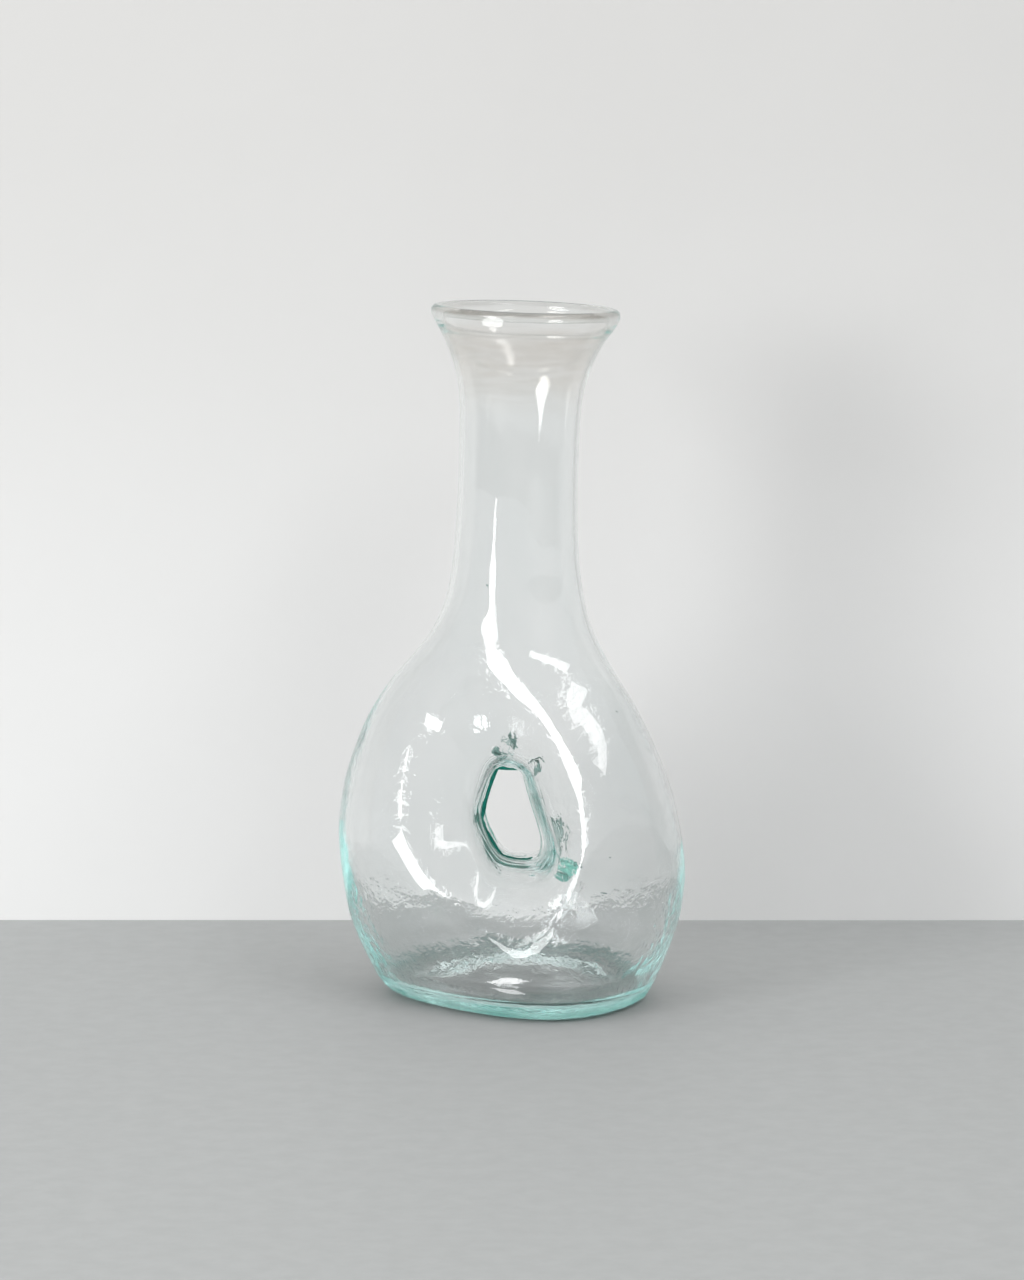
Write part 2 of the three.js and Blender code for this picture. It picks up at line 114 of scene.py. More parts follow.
def softened(f, sigma=5.0, z0=12.0, z1=34.0):
    """The same curve with the small kinks between its rows smoothed out above the foot."""
    step = 0.5
    z = np.arange(-60, 361, step)
    y = f(np.clip(z, 0, 300))
    k = np.exp(-0.5 * (np.arange(-60, 61) * step / sigma) ** 2)
    s = np.convolve(y, k / k.sum(), mode="same")
    t = np.clip((z - z0) / (z1 - z0), 0, 1) * (1 - np.clip((z - 284) / 8.0, 0, 1))
    t = t * t * (3 - 2 * t)
    mix = y * (1 - t) + s * t
    return lambda x: np.where(np.asarray(x) < z0, f(x), np.interp(x, z, mix))


middle = softened(pchip(PROFILE[:, 0], PROFILE[:, 1]))
half_width = softened(pchip(PROFILE[:, 0], PROFILE[:, 2]), 3.5)
depth_ratio = softened(pchip(DEPTH[:, 0], DEPTH[:, 1]), 6.0)
shear = pchip(SHEAR[:, 0], SHEAR[:, 1])
peak = pchip(PEAK[:, 0], PEAK[:, 1])


def smooth(t):
    t = np.clip(t, 0, 1)
    return t * t * (3 - 2 * t)


def wall(z):
    return WALL + WALL_LOW * np.maximum(0, WALL_LOW_Z - z)


def plan(c, s, z):
    e = np.exp(-((z / PLAN_FADE) ** 2)) * (1 - s) / 2
    return 1 + e * (0.228 * c - 0.138 * (c * c - 0.5) - 0.154 * (c**3 - 0.6 * c) - 0.173 * (c**4 - 0.375))


def cut_corners(points, share):
    p = np.array(points, float)
    q = np.roll(p, -1, axis=0)
    return np.stack([(1 - share) * p + share * q, share * p + (1 - share) * q], 1).reshape(-1, 2)


OUTLINE = cut_corners(cut_corners(cut_corners(HOLE, 0.2), 0.25), 0.25)


def hole_distance(x, z, y):
    px, pz = x - SKEW_X * (y + HOLE_A), z - SKEW_Z * (y + HOLE_A)
    a, b = OUTLINE, np.roll(OUTLINE, -1, axis=0)
    best = np.full(px.shape, 1e9)
    inside = np.zeros(px.shape, bool)
    for (ax, az), (bx, bz) in zip(a, b):
        ux, uz = bx - ax, bz - az
        t = np.clip(((px - ax) * ux + (pz - az) * uz) / (ux * ux + uz * uz), 0, 1)
        best = np.minimum(best, np.hypot(px - ax - t * ux, pz - az - t * uz))
        if az != bz:
            inside ^= ((az > pz) != (bz > pz)) & (px < (bx - ax) * (pz - az) / (bz - az) + ax)
    return np.where(inside, -best, best)


def ridge_distance(x, z):
    """How far inside the ridge round the dimple a point lies."""
    n = len(RIDGE)
    u = (np.arctan2(z - RIDGE_Z, x - RIDGE_X) + np.pi) / (2 * np.pi) * n
    i = np.floor(u).astype(int)
    f = u - i
    a, b, c, d = (RIDGE[(i + k) % n] for k in (-1, 0, 1, 2))
    r = 0.5 * (2 * b + (c - a) * f + (2 * a - 5 * b + 4 * c - d) * f**2 + (3 * b - a - 3 * c + d) * f**3)
    return r - np.hypot(x - RIDGE_X, z - RIDGE_Z)


def spline(t, n):
    a = np.abs(t[..., None] - np.arange(n))
    return np.where(a < 1, 2 / 3 - a * a + a**3 / 2, np.where(a < 2, (2 - a) ** 3 / 6, 0))


def wave(x, z):
    u = np.clip((x - middle(z)) / half_width(z), -1, 1)
    bu = spline((u + 1) / 2 * (WAVE.shape[0] - 1), WAVE.shape[0])
    bz = spline((z - WAVE_Z0) / WAVE_DZ, WAVE.shape[1])
    fade = (1 - u * u) * smooth((z - 12) / 14.0) * (1 - smooth((z - 170) / 20))
    return np.einsum("...i,...j,ij->...", bu, bz, WAVE) * fade


def shaped(c, s, r, x, z, side, inset):
    """Depth at a point of a section: direction (c, s), half width r, front is side -1."""
    c, s, r, x, z, side = np.broadcast_arrays(c, s, r, x, z, side)
    a = np.abs(depth_ratio(z) * r * s * plan(c, s, z) * (1 + peak(z) * (c * c - 0.35) * (1 - s) / 2))
    hd = hole_distance(x, z, side * HOLE_A)
    d = np.maximum(0, hd - inset)
    t = np.clip(d / np.maximum(d + ridge_distance(x, z), RIDGE_MIN) / RIDGE_S, 0, 1)
    f = np.sqrt(np.maximum(0, 1 - (1 - t) ** RIDGE_P))
    h = np.minimum(a, HOLE_A)
    y = side * (h + (a - h) * f) - shear(z) * r * c
    return y - np.where(side < 0, wave(x, z) * smooth(hd / 9.0), 0)


def section_y(x, z, side, inset):
    """Depth of the surface at x, z on the front (side -1) or the back (+1)."""
    r = half_width(z) - (wall(z) if inset else 0)
    c = np.clip((x - middle(z)) / r, -1, 1)
    return shaped(c, side * np.sqrt(np.maximum(0, 1 - c * c)), r, x, z, side, inset)


# ---------------------------------------------------------------------------
# Lattice noise, seeded
# ---------------------------------------------------------------------------
_tab = np.random.RandomState(11).rand(4096) * 2 - 1


def noise(p, scale, seed=0):
    q = p / scale + seed * 17.37
    i = np.floor(q).astype(int)
    f = q - i
    f = f * f * f * (f * (f * 6 - 15) + 10)
    out = 0
    for dx in (0, 1):
        for dy in (0, 1):
            for dz in (0, 1):
                h = ((i[:, 0] + dx) * 73856093) ^ ((i[:, 1] + dy) * 19349663) ^ ((i[:, 2] + dz) * 83492791)
                w = ((f[:, 0] if dx else 1 - f[:, 0]) * (f[:, 1] if dy else 1 - f[:, 1])
                     * (f[:, 2] if dz else 1 - f[:, 2]))
                out = out + w * _tab[(h ^ (seed * 7919)) & 4095]
    return out


# ---------------------------------------------------------------------------
# One closed mesh for the blown glass: outside, lip, inside, and the tunnel
# ---------------------------------------------------------------------------
NU = 220
CROWD = 0.22
NI = 15                      # half width of the block that the hole replaces, in cells
HOLE_Z = 82.2
BLOCK_H = 25.5               # half height of that block, in mm
MORPH = 2.3                  # how far round it the grid is bent to the outline
LEAD = 2.2                   # the rings of the tunnel start this far outside its edge

turn = 2 * np.pi * np.arange(NU) / NU
ANG = turn + CROWD * np.sin(2 * turn)
IF = (3 * NU) // 4            # index of the front middle
IB = NU // 4                  # index of the back middle


def outline_radius(grow, cx, cz):
    """Polar radius of the grown outline round (cx, cz)."""
    a = np.roll(OUTLINE, 1, axis=0)
    b = np.roll(OUTLINE, -1, axis=0)
    t = b - a
    t /= np.linalg.norm(t, axis=1)[:, None]
    p = OUTLINE + np.stack([-t[:, 1], t[:, 0]], 1) * grow
    dense = np.concatenate([p + (np.roll(p, -1, axis=0) - p) * k / 6 for k in range(6)])
    phi = np.arctan2(dense[:, 1] - cz, dense[:, 0] - cx)
    rad = np.hypot(dense[:, 1] - cz, dense[:, 0] - cx)
    o = np.argsort(phi)
    phi, rad = phi[o], rad[o]
    phi = np.concatenate([phi - 2 * np.pi, phi, phi + 2 * np.pi])
    rad = np.concatenate([rad, rad, rad])
    return lambda q: np.interp(q, phi, rad)


def wall_rows(inset):
    """Heights of the rows of one skin, and which of them hold the hole block."""
    lowz = [0, 0.1, 0.3, 0.65, 1.1, 1.7, 2.5, 3.5, 4.7, 6.1, 7.7, 9.4, 11.2, 13.2, 15.4, 17.8, 20.2, 22.6]
    if inset:
        lowz = [z for z in lowz if z > 9.0]
    block = list(np.linspace(HOLE_Z - BLOCK_H, HOLE_Z + BLOCK_H, 2 * 17 + 1))
    below = list(np.linspace(24.6, block[0], 23)[:-1])
    above = list(np.linspace(block[-1], 156, 34)[1:])
    neck = list(np.linspace(156, 258, 46)[1:])
    mouth = list(np.linspace(258, 288, 19)[1:])
    top = list(np.linspace(288, LIP_Z, 9)[1:])
    rows = lowz + below + block + above + neck + mouth + top
    j0 = len(lowz) + len(below)
    return np.array(rows), j0, j0 + 34


def lip_wall(z):
    """The wall thickens into the rolled lip."""
    return wall(z) + (2 * LIP_R - WALL - 0.1) * smooth((z - 286) / (LIP_Z - 286)) ** 1.4


def skin(inset):
    zs, j0, j1 = wall_rows(inset)
    r = half_width(zs) - (lip_wall(zs) if inset else 0)
    c, s = np.cos(ANG)[None, :], np.sin(ANG)[None, :]
    Z = np.repeat(zs[:, None], NU, 1)
    X = middle(zs)[:, None] + r[:, None] * c
    side0 = np.where(s < 0, -1.0, 1.0) + 0 * Z
    t_wall = TUNNEL_WALL if inset else 0.0
    Y = shaped(c, s, r[:, None], X, Z, side0, t_wall)
    # bend the grid round the hole, front and back
    jj = np.arange(len(zs))[:, None]
    ii = np.arange(NU)[None, :]
    jc, nj = (j0 + j1) / 2, (j1 - j0) / 2
    rad = outline_radius(t_wall + LEAD, 0.0, HOLE_Z)
    for side, ic in ((-1, IF), (1, IB)):
        hx = SKEW_X * (side * HOLE_A + HOLE_A)
        hz = HOLE_Z + SKEW_Z * (side * HOLE_A + HOLE_A)
        di = (ii - ic + NU // 2) % NU - NU // 2
        q = np.maximum(np.abs(di) / NI + 0 * jj, np.abs(jj - jc) / nj + 0 * ii)
        near = (q <= MORPH)
        dx, dz = X - hx, Z - HOLE_Z
        phi, rb = np.arctan2(dz, dx), np.hypot(dx, dz)
        f = np.clip((q - 1) / (MORPH - 1), 0, 1) ** 1.7
        rh = rad(phi)
        rn = rh + f * (rb - rh)
        X = np.where(near, hx + rn * np.cos(phi), X)
        Z = np.where(near, hz + rn * np.sin(phi) + (HOLE_Z - hz) * f, Z)
        part = near & (q >= 0.999)
        Y[part] = section_y(X[part], Z[part], float(side), t_wall)
    lean = TILT * smooth((Z - TILT_Z0) / (TILT_Z1 - TILT_Z0)) * (X - middle(Z))
    return np.stack([X, Y, Z - lean], 2), j0, j1


def ring_rows(rz, plan_z):
    """Rows given by radius and height: the underside, the lip and the inner floor."""
    out = []
    for (r, z), pz in zip(rz, plan_z):
        c, s = np.cos(ANG), np.sin(ANG)
        pz = np.full(NU, float(pz))
        m = middle(pz)
        x = m + r * c
        y = depth_ratio(pz) * r * s * plan(c, s, pz) - shear(pz) * r * c
        lean = TILT * smooth((z - TILT_Z0) / (TILT_Z1 - TILT_Z0)) * (x - m)
        out.append(np.stack([x, y, z - lean], 1))
    return np.array(out)


def build_glass():
    """Vertices, faces and a tag for every vertex: 0 outside, 1 inside, 2 tunnel."""
    outer, j0, j1 = skin(0)
    inner, k0, k1 = skin(1)
    verts, faces, tags = [], [], []
    count = 0

    def put(grid, tag=0.0):
        nonlocal count
        grid = grid.reshape(-1, 3)
        start = count
        verts.append(grid)
        tags.append(np.full(len(grid), tag))
        count += len(grid)
        return start

    def strip(a, b):
        """Quads between two closed rows of vertex numbers."""
        for i in range(len(a)):
            k = (i + 1) % len(a)
            faces.append((a[i], a[k], b[k], b[i]))

    # underside, from the middle out to the standing ring
    rf = [0.06, 0.14, 0.22, 0.3, 0.38, 0.46, 0.54, 0.62, 0.7, 0.77, 0.84, 0.9, 0.95, 0.985, 1.0]
    rz = [(KICK_R * f, KICK * (1 - f * f) ** 1.3) for f in rf]
    rz += [(r, 0.0) for r in (41.2, 43.4, 45.6, 47.6, 49.0)]
    under = ring_rows(rz, [0.0] * len(rz))
    u0 = put(under)
    o0 = put(outer)
    # lip: from the outside over the top to the inside
    rc = float(half_width(np.array(LIP_Z))) - LIP_R
    lip = []
    for k in range(1, 12):
        a = math.pi * k / 12
        lip.append((rc + LIP_R * math.cos(a), LIP_Z + LIP_R * math.sin(a)))
    lips = ring_rows(lip, [LIP_Z] * len(lip))
    l0 = put(lips)
    inner = inner[::-1]
    ni = len(inner)
    i0 = put(inner, 1.0)
    # inner floor
    zi = float(inner[-1][0][2])
    ri = float(half_width(np.array(zi)) - wall(zi))
    fl = [(ri - 0.7, zi - 0.55), (ri - 1.7, zi - 1.05), (ri - 3.0, zi - 1.45), (ri - 4.8, zi - 1.75),
          (ri - 7.0, zi - 1.95), (ri - 9.6, zi - 2.05), (ri - 12.4, zi - 2.05)]
    for r in (40.0, 37.0, 34.0, 31.0, 28.0, 25.0, 22.0, 19.0, 16.0, 13.0, 10.0, 7.2, 4.6, 2.2):
        t = 1 - (r / 43.0) ** 2
        fl.append((r, (zi - 2.05) + (KICK + FOOT_MID - zi + 2.05) * max(0, t) ** 1.5))
    # plan heights glide from the wall down to the foot
    pz = list(np.linspace(zi, 0, len(fl) + 1)[1:])
    floor = ring_rows(fl, pz)
    f0 = put(floor, 1.0)
    c_under = put(np.array([[float(middle(np.array(0.0))), 0.0, KICK]]))
    c_floor = put(np.array([[float(middle(np.array(0.0))), 0.0, KICK + FOOT_MID]]), 1.0)

    idx = np.arange(NU)
    rows = ([u0 + k * NU + idx for k in range(len(under))]
            + [o0 + k * NU + idx for k in range(len(outer))]
            + [l0 + k * NU + idx for k in range(len(lips))]
            + [i0 + k * NU + idx for k in range(ni)]
            + [f0 + k * NU + idx for k in range(len(floor))])
    first_outer = len(under)
    first_inner = len(under) + len(outer) + len(lips)
    blocks = []            # (row range, centre column) where cells are left out
    for ic in (IF, IB):
        blocks.append((first_outer + j0, first_outer + j1, ic))
        blocks.append((first_inner + (ni - 1 - k1), first_inner + (ni - 1 - k0), ic))
    for k in range(len(rows) - 1):
        a, b = rows[k], rows[k + 1]
        gone = set()
        for ja, jb, ic in blocks:
            if ja <= k < jb:
                gone |= {(ic + d) % NU for d in range(-NI, NI)}
        for i in range(NU):
            if i in gone:
                continue
            m = (i + 1) % NU
            faces.append((a[i], a[m], b[m], b[i]))
    for i in range(NU):
        m = (i + 1) % NU
        faces.append((c_under, rows[0][m], rows[0][i]))
        faces.append((c_floor, rows[-1][i], rows[-1][m]))

    # the tunnel: join the front loop to the back loop, outside skin and cavity skin
    def loop(ja, jb, ic, mirror):
        cols = [(ic + d) % NU for d in range(-NI, NI + 1)]
        if mirror:
            cols = cols[::-1]
        up = list(range(ja, jb + 1))
        path = [rows[ja][c] for c in cols]
        path += [rows[j][cols[-1]] for j in up[1:]]
        path += [rows[jb][c] for c in cols[::-1][1:]]
        path += [rows[j][cols[0]] for j in up[::-1][1:-1]]
        return path
    K, M = 22, 12
    allv = np.concatenate(verts)
    rings = {}
    for skin_no, (fb, bb) in enumerate(((blocks[0], blocks[2]), (blocks[1], blocks[3]))):
        grow = TUNNEL_WALL if skin_no else 0.0
        la = loop(fb[0], fb[1], fb[2], False)
        lb = loop(bb[0], bb[1], bb[2], True)
        steep = {}
        for side, l in ((-1, la), (1, lb)):
            hx = SKEW_X * (side * HOLE_A + HOLE_A)
            hz = HOLE_Z + SKEW_Z * (side * HOLE_A + HOLE_A)
            phi = np.arctan2(allv[l][:, 2] - hz, allv[l][:, 0] - hx)
            steep[side] = []
            for k in range(M):
                r = outline_radius(grow + LEAD * (k / M) ** 2, 0.0, HOLE_Z)(phi)
                x, z = hx + r * np.cos(phi), hz + r * np.sin(phi)
                steep[side].append(np.stack([x, section_y(x, z, float(side), grow), z], 1))
        A, B = steep[-1][0], steep[1][0]
        mid = (A + B) / 2
        cen = mid.mean(0)
        # inward direction in the X-Z plane
        nrm = np.roll(mid, -1, 0) - np.roll(mid, 1, 0)
        nrm = np.stack([nrm[:, 2], 0 * nrm[:, 0], -nrm[:, 0]], 1)
        nrm /= np.linalg.norm(nrm, axis=1)[:, None]
        sign = np.sign(((cen - mid) * nrm).sum(1))
        nrm *= sign[:, None]
        between = []
        for k in range(1, K):
            t = k / K
            waist = 0.55 * math.sin(math.pi * t) ** 2
            seam = math.exp(-(((t - 0.5) * 2 * HOLE_A) / 3.2) ** 2)
            between.append(A * (1 - t) + B * t + nrm * (waist + (0.1 if skin_no == 0 else -0.3) * seam))
        prev = la
        for ring in steep[-1][::-1] + between + steep[1]:
            start = put(ring, 2.0 if skin_no == 0 else 3.0)
            cur = [start + n for n in range(len(la))]
            strip(prev, cur)
            prev = cur
        strip(prev, lb)
        rings[skin_no] = (A, B, nrm)
    return np.concatenate(verts), faces, np.concatenate(tags), rings


def mesh_object(name, verts, faces, material, smooth_shade=True, offset=(0, OY, 0), attributes=None):
    """A mesh from millimetres; faces are turned outward."""
    import bmesh
    v = (np.asarray(verts, float) + np.array(offset)) * 0.001
    me = bpy.data.meshes.new(name)
    me.from_pydata([tuple(p) for p in v], [], [tuple(int(i) for i in f) for f in faces])
    for key, values in (attributes or {}).items():
        me.attributes.new(key, "FLOAT", "POINT").data.foreach_set("value", np.asarray(values, np.float32))
    bm = bmesh.new()
    bm.from_mesh(me)
    bmesh.ops.delete(bm, geom=[x for x in bm.verts if not x.link_faces], context="VERTS")
    bmesh.ops.recalc_face_normals(bm, faces=bm.faces)
    if bm.calc_volume(signed=True) < 0:
        bmesh.ops.reverse_faces(bm, faces=bm.faces)
    bm.to_mesh(me)
    bm.free()
    me.polygons.foreach_set("use_smooth", [smooth_shade] * len(me.polygons))
    me.update()
    o = bpy.data.objects.new(name, me)
    bpy.context.collection.objects.link(o)
    if material:
        me.materials.append(material)
    return o


def coords(o):
    p = np.zeros(len(o.data.vertices) * 3)
    o.data.vertices.foreach_get("co", p)
    return p.reshape(-1, 3)


def vertex_normals(o):
    n = np.zeros(len(o.data.vertices) * 3)
    o.data.vertex_normals.foreach_get("vector", n)
    return n.reshape(-1, 3)


def values(o, key):
    a = np.zeros(len(o.data.vertices), np.float32)
    o.data.attributes[key].data.foreach_get("value", a)
    return a


# ---------------------------------------------------------------------------
# Materials
# ---------------------------------------------------------------------------
def srgb(r, g, b):
    def f(c):
        c /= 255
        return c / 12.92 if c <= 0.04045 else ((c + 0.055) / 1.055) ** 2.4
    return (f(r), f(g), f(b))


class Nodes:
    """Short names for building a procedural material."""
    def __init__(self, name):
        self.m = bpy.data.materials.new(name)
        self.m.use_nodes = True
        self.nt = self.m.node_tree
        self.b = self.nt.nodes["Principled BSDF"]
        self.out = self.nt.nodes["Material Output"]
        self.obj = self.nt.nodes.new("ShaderNodeTexCoord").outputs["Object"]

    def link(self, a, b):
        self.nt.links.new(a, b)

    def stretch(self, scale):
        n = self.nt.nodes.new("ShaderNodeMapping")
        n.inputs["Scale"].default_value = scale
        self.link(self.obj, n.inputs["Vector"])
        return n.outputs["Vector"]

    def noise(self, scale, detail=2.0, rough=0.5, distortion=0.0, vector=None):
        n = self.nt.nodes.new("ShaderNodeTexNoise")
        n.inputs["Scale"].default_value = scale
        n.inputs["Detail"].default_value = detail
        n.inputs["Roughness"].default_value = rough
        n.inputs["Distortion"].default_value = distortion
        self.link(vector or self.obj, n.inputs["Vector"])
        return n.outputs["Fac"]

    def attribute(self, key):
        n = self.nt.nodes.new("ShaderNodeAttribute")
        n.attribute_name = key
        return n.outputs["Fac"]

    def ramp(self, fac, stops):
        n = self.nt.nodes.new("ShaderNodeValToRGB")
        e = n.color_ramp.elements
        while len(e) < len(stops):
            e.new(0.5)
        for k, (pos, col) in enumerate(stops):
            e[k].position = pos
            e[k].color = (*col, 1) if len(col) == 3 else col
        self.link(fac, n.inputs["Fac"])
        return n.outputs["Color"]

    def remap(self, fac, a, b, c, d):
        n = self.nt.nodes.new("ShaderNodeMapRange")
        for key, v in zip(("From Min", "From Max", "To Min", "To Max"), (a, b, c, d)):
            n.inputs[key].default_value = v
        self.link(fac, n.inputs["Value"])
        return n.outputs["Result"]

    def mix(self, fac, a, b, blend="MIX"):
        n = self.nt.nodes.new("ShaderNodeMix")
        n.data_type = "RGBA"
        n.blend_type = blend
        for src, sock in ((fac, n.inputs[0]), (a, n.inputs[6]), (b, n.inputs[7])):
            if isinstance(src, (int, float)):
                sock.default_value = src
            elif isinstance(src, tuple):
                sock.default_value = (*src, 1)
            else:
                self.link(src, sock)
        return n.outputs[2]

    def math(self, op, a, b):
        n = self.nt.nodes.new("ShaderNodeMath")
        n.operation = op
        for src, sock in ((a, n.inputs[0]), (b, n.inputs[1])):
            if isinstance(src, (int, float)):
                sock.default_value = src
            else:
                self.link(src, sock)
        return n.outputs[0]

    def bump(self, height, distance, strength=1.0):
        n = self.nt.nodes.new("ShaderNodeBump")
        n.inputs["Strength"].default_value = strength
        n.inputs["Distance"].default_value = distance
        self.link(height, n.inputs["Height"])
        self.link(n.outputs["Normal"], self.b.inputs["Normal"])

    def glass(self, absorb, density, ior=1.52):
        self.b.inputs["IOR"].default_value = ior
        self.b.inputs["Transmission Weight"].default_value = 1.0
        va = self.nt.nodes.new("ShaderNodeVolumeAbsorption")
        va.inputs["Color"].default_value = (*absorb, 1)
        va.inputs["Density"].default_value = density
        self.link(va.outputs["Volume"], self.out.inputs["Volume"])


def blown_glass():
    """Fire-polished recycled glass: clear, faintly streaked, rippled on its inner skin."""
    n = Nodes("blown_glass")
    n.glass((0.12, 0.80, 0.75), 3.2)
    streak = n.noise(26.0, 3.0, 0.55, 0.6, n.stretch((1.0, 1.0, 0.35)))
    tint = n.ramp(streak, [(0.30, (0.936, 0.951, 0.951)), (0.62, (0.975, 0.98, 0.98))])
    smoke = n.noise(60.0, 4.0, 0.65, 1.2, n.stretch((0.5, 0.5, 4.0)))
    stain = n.ramp(smoke, [(0.30, (0.85, 0.815, 0.775)), (0.66, (0.955, 0.945, 0.935))])
    tint = n.mix(n.attribute("stain"), tint, stain)
    brown = n.ramp(smoke, [(0.34, (0.20, 0.175, 0.15)), (0.70, (0.52, 0.48, 0.43))])
    tint = n.mix(n.attribute("smoke"), tint, brown)
    deep = n.ramp(streak, [(0.30, (0.12, 0.45, 0.39)), (0.62, (0.24, 0.59, 0.53))])
    tint = n.mix(n.attribute("deep"), tint, deep)
    n.link(tint, n.b.inputs["Base Color"])
    haze = n.remap(n.noise(38.0, 2.0), 0.35, 0.75, 0.0, 0.022)
    haze = n.math("MULTIPLY", haze, n.attribute("clear"))
    n.link(n.math("ADD", haze, n.attribute("frost")), n.b.inputs["Roughness"])
    ripple = n.noise(210.0, 2.5, 0.55, 0.3)
    fine = n.noise(520.0, 1.0, 0.5)
    height = n.math("MULTIPLY", n.math("ADD", ripple, n.math("MULTIPLY", fine, 0.2)), n.attribute("inner"))
    n.bump(height, 0.00028)
    return n.m


# ---------------------------------------------------------------------------
# The blown body
# ---------------------------------------------------------------------------
verts, faces, tags, rings = build_glass()
body_glass = blown_glass()
glass = mesh_object("blown_glass", verts, faces, body_glass,
                    attributes={"inner": tags, "clear": tags, "tag": tags})
p = coords(glass) * 1000 - np.array([0, OY, 0])
tag = values(glass, "tag")
# waviness of the inside of the wall, none near the hole and the lip
keep = (tag == 1) * smooth((hole_distance(p[:, 0], p[:, 2], np.where(p[:, 1] < 0, -HOLE_A, HOLE_A)) - 4) / 8)
keep = keep * (1 - smooth((p[:, 2] - 280) / 10)) * (1 - 0.85 * smooth((p[:, 2] - 140) / 25))
q = p * np.array([1.0, 1.0, 0.8])
swell = 0.07 * noise(q, 17.0, 1) + 0.03 * noise(q, 7.5, 2)
p = p + vertex_normals(glass) * (keep * swell)[:, None]
# the back wall low down on the right isn't quite flat either
dx, dz = p[:, 0] - 24.6, p[:, 2] - 24.9
p[:, 1] += np.where(p[:, 1] > 15, np.exp(-(dx**2 + dz**2) / 12.0**2) * (-0.14 * dx + 0.14 * dz), 0)
# nor is the front wall: high up on the left, low down on the right and left of the hole
clear_of_hole = smooth((hole_distance(p[:, 0], p[:, 2], -HOLE_A) - 2) / 6) * smooth((-1 - p[:, 1]) / 9)
shift = np.zeros(len(p))
for x0, z0, width, steep, lean in ((-33.6, 130.1, 10.0, 0.13, -1), (24.6, 48.8, 7.0, 0.13, -1),
                                   (-21.0, 76.0, 10.0, 0.15, -1), (-16.0, 66.0, 10.0, 0.15, 1)):
    dx, dz = p[:, 0] - x0, p[:, 2] - z0
    shift += np.exp(-(dx**2 + dz**2) / width**2) * steep * (lean * dz - dx)
p[:, 1] += shift * clear_of_hole
glass.data.vertices.foreach_set("co", ((p + np.array([0, OY, 0])) * 0.001).ravel())
glass.data.update()
# the ripple dies out towards the hole, where the skin turns steeply away
calm = smooth((hole_distance(p[:, 0], p[:, 2], np.where(p[:, 1] < 0, -HOLE_A, HOLE_A)) - 6) / 9)
calm_neck = 1 - 0.9 * smooth((p[:, 2] - 135) / 30)
side = np.abs(p[:, 0] - middle(p[:, 2])) / half_width(p[:, 2])
calm_neck = calm_neck * (1 - 0.8 * smooth((side - 0.72) / 0.2) * smooth((p[:, 2] - 40) / 20))
glass.data.attributes["inner"].data.foreach_set("value", ((tag == 1) * calm * calm_neck).astype(np.float32))
glass.data.attributes["clear"].data.foreach_set("value", calm.astype(np.float32))
# a smoky streak along the front of the rolled lip
level = p[:, 2] + TILT * (p[:, 0] - 6.3)
front = smooth((-p[:, 1] + 6) / 14)
wander = 0.5 * noise(p * np.array([1, 0, 0]), 19.0, 5)
smoke = smooth((level - 297.2 - wander) / 1.0) * (0.4 + 0.6 * front) * (0.85 + 0.15 * noise(p, 9.0, 6))
# and fainter stains running round inside the flare
stain = smooth((level - 248) / 34) * (1 - 0.6 * smooth((level - 292) / 5)) * (0.8 + 0.2 * noise(p * np.array([1, 1, 4]), 14.0, 7))
# the flare is a little scratched inside, and the glass is greenest where the wall turns under the foot
frost = 0.16 * smooth((level - 268) / 12) * (1 - smooth((level - 291) / 4)) * (0.75 + 0.25 * noise(p * np.array([1, 1, 6]), 11.0, 8))
deep = (1 - smooth((p[:, 2] - 1.5) / 9.0)) * smooth((np.hypot(p[:, 0] - 3, p[:, 1]) - 36) / 12) * (0.8 + 0.2 * noise(p, 15.0, 9))
for key, v in (("smoke", smoke), ("stain", stain), ("frost", frost), ("deep", deep)):
    glass.data.attributes.new(key, "FLOAT", "POINT").data.foreach_set("value", np.clip(v, 0, 1).astype(np.float32))
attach(glass, "root")
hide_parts("foot", "bowl", "belly_left", "belly_right", "shoulder", "neck", "flared_mouth", "lip_bead")

# ---------------------------------------------------------------------------
# Stage, lights, camera
# ---------------------------------------------------------------------------
def plane(name, corners, material):
    me = bpy.data.meshes.new(name)
    me.from_pydata(corners, [], [(0, 1, 2, 3)])
    me.update()
    o = bpy.data.objects.new(name, me)
    bpy.context.collection.objects.link(o)
    me.materials.append(material)
    return o


def matte(name, low, high, rough, scale, one_sided=False, painted_shade_colours=None):
    """A plain painted or stone surface with a soft mottle; an optional darker pair of colours is mixed in as painted
    shade where the fade attribute rises.
    """
    n = Nodes(name)
    mottle = n.noise(scale, 4.0, 0.6)
    colour = n.ramp(mottle, [(0.35, low), (0.65, high)])
    # painted shade: the darker colour pair is mixed in by the fade attribute
    if painted_shade_colours:
        colour = n.mix(n.attribute("fade"), colour, n.ramp(mottle, [(0.35, painted_shade_colours[0]), (0.65, painted_shade_colours[1])]))
    n.link(colour, n.b.inputs["Base Color"])
    n.b.inputs["Roughness"].default_value = rough
    n.b.inputs["Specular IOR Level"].default_value = 0.3
    if one_sided:
        geo = n.nt.nodes.new("ShaderNodeNewGeometry")
        tr = n.nt.nodes.new("ShaderNodeBsdfTransparent")
        mix = n.nt.nodes.new("ShaderNodeMixShader")
        n.link(geo.outputs["Backfacing"], mix.inputs["Fac"])
        n.link(n.b.outputs["BSDF"], mix.inputs[1])
        n.link(tr.outputs["BSDF"], mix.inputs[2])
        n.link(mix.outputs["Shader"], n.out.inputs["Surface"])
    return n.m


